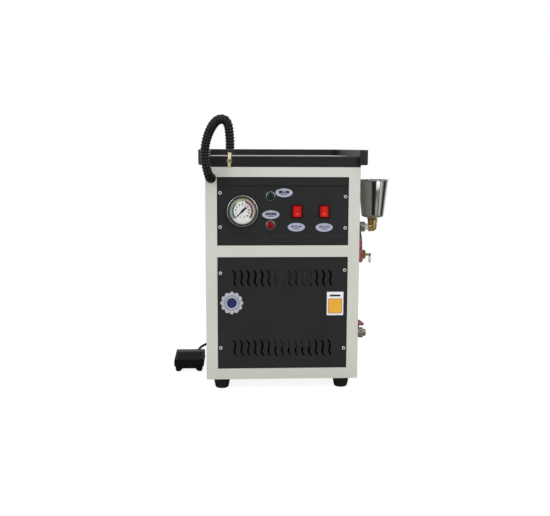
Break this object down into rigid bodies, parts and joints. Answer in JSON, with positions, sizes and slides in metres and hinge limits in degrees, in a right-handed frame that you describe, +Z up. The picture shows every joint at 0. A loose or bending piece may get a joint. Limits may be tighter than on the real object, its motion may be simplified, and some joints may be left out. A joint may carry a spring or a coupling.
{
  "type": "jewelry steam cleaner",
  "caption": "Sheet-steel cabinet with a rimmed tray, ribbed steam hose and nozzle, gauge, lamps, rocker switches, filler cup, side valves and a corded foot pedal.",
  "frame": {"origin": "on the floor under the middle of the cabinet's width and depth", "axes": "+X to the right seen from the front, +Y from the front to the back, +Z up"},
  "size_m": [0.511, 0.5525, 0.6124],
  "materials": {
    "cabinet_paint": "pale grey-green baked enamel, semi-gloss",
    "panel_paint": "near-black fine-textured enamel",
    "tray_paint": "black satin enamel",
    "deck_sheet": "mid grey enamel",
    "zinc": "zinc-plated steel",
    "chrome": "bright chrome plate",
    "spun_steel": "spun stainless steel, polished",
    "brass": "machined brass",
    "nickel": "nickel-plated brass, satin",
    "foot_rubber": "moulded black rubber",
    "hose_rubber": "ribbed black rubber, satin",
    "black_plastic": "black moulded plastic",
    "white_dial": "white lacquered sheet with printed scale",
    "needle_black": "black lacquer",
    "clear_glass": "clear flat glass",
    "green_plastic": "green translucent lens",
    "red_plastic": "red translucent lens",
    "rocker_red": "red translucent rocker",
    "vinyl_red": "red dipped vinyl",
    "plate_silver": "brushed aluminium with printed signs",
    "cord_pvc": "black PVC jacket",
    "pedal_enamel": "black textured moulding",
    "boiler_steel": "stainless steel, brushed",
    "copper": "copper pipe",
    "spring_steel": "spring wire"
  },
  "bodies": {
    "cabinet": {"front_frame": "cabinet_paint", "left_side_panel": "cabinet_paint", "right_side_panel": "cabinet_paint", "rear_panel": "cabinet_paint", "base_pan": "cabinet_paint", "rubber_feet": "foot_rubber", "foot_screws": "zinc", "cabinet_screws": "zinc", "tray_front_bar": "tray_paint", "tray_deck": "deck_sheet", "tray_rail": "tray_paint", "control_panel": "panel_paint", "louvre_panel": "panel_paint", "label_plates": "plate_silver", "gauge_case": "black_plastic", "gauge_bezel": "chrome", "gauge_lens": "clear_glass", "gauge_dial": "white_dial", "gauge_clamp": "zinc", "pilot_lamps": "chrome", "green_lens": "green_plastic", "red_lens": "red_plastic", "switch_housings": "black_plastic", "hose_gland": "black_plastic", "steam_hose": "hose_rubber", "hose_ferrule": "black_plastic", "steam_nozzle": "brass", "filler_cup": "spun_steel", "cup_fastening": "brass", "filler_elbow": "brass", "pipe_nipples": "nickel", "safety_valve_body": "brass", "pedal_base": "pedal_enamel", "pedal_pin": "zinc", "pedal_spring": "spring_steel", "pedal_switch": "black_plastic", "pedal_cord_run": "cord_pvc", "pedal_cord_coil": "cord_pvc", "pedal_cord_rise": "cord_pvc", "rear_glands": "black_plastic", "boiler": "boiler_steel", "immersion_heater": "brass", "solenoid_valve": "brass", "pressure_switch": "brass", "pipework": "copper", "control_gear": "black_plastic", "feed_valve_body": "nickel", "drain_valve_body": "nickel"},
    "power_rocker_body": {"power_rocker": "rocker_red"},
    "heater_rocker_body": {"heater_rocker": "rocker_red"},
    "needle": {"gauge_needle": "needle_black"},
    "feed_handle": {"feed_valve_spindle": "chrome", "feed_valve_lever": "zinc", "feed_valve_grip": "vinyl_red"},
    "drain_handle": {"drain_valve_spindle": "chrome", "drain_valve_lever": "zinc", "drain_valve_grip": "vinyl_red"},
    "safety_stem": {"safety_valve_stem": "brass"},
    "ring": {"pull_ring": "chrome"},
    "treadle": {"pedal_treadle": "pedal_enamel"}
  },
  "joints": [
    {"name": "power_switch", "type": "hinge", "parent": "cabinet", "child": "power_rocker_body", "pos_m": [0.0311, -0.1966, 0.4033], "axis": [1, 0, 0], "range_deg": [0, 22]},
    {"name": "heater_switch", "type": "hinge", "parent": "cabinet", "child": "heater_rocker_body", "pos_m": [0.091, -0.1966, 0.4033], "axis": [1, 0, 0], "range_deg": [0, 22]},
    {"name": "gauge_pointer", "type": "hinge", "parent": "cabinet", "child": "needle", "pos_m": [-0.089, -0.196, 0.4045], "axis": [0, 1, 0], "range_deg": [0, 270], "stiffness_Nm_per_rad": 0.002, "springref_deg": -11.46},
    {"name": "feed_valve_turn", "type": "hinge", "parent": "cabinet", "child": "feed_handle", "pos_m": [0.1858, -0.08, 0.3584], "axis": [0, -1, 0], "range_deg": [0, 90]},
    {"name": "drain_valve_turn", "type": "hinge", "parent": "cabinet", "child": "drain_handle", "pos_m": [0.1858, -0.08, 0.1035], "axis": [0, 0, 1], "range_deg": [0, 90]},
    {"name": "safety_valve_lift", "type": "slide", "parent": "cabinet", "child": "safety_stem", "axis": [1, 0, 0], "range_m": [0, 0.003], "stiffness_N_per_m": 3000, "springref_m": -0.002},
    {"name": "pull_ring_swing", "type": "hinge", "parent": "safety_stem", "child": "ring", "pos_m": [0.2134, -0.08, 0.2922], "axis": [0, -1, 0], "range_deg": [-20, 90]},
    {"name": "pedal_press", "type": "hinge", "parent": "cabinet", "child": "treadle", "pos_m": [-0.2185, 0.041, 0.016], "axis": [1, 0, 0], "range_deg": [0, 5], "stiffness_Nm_per_rad": 4, "springref_deg": -4.58, "deforming": ["pedal_spring"]}
  ]
}
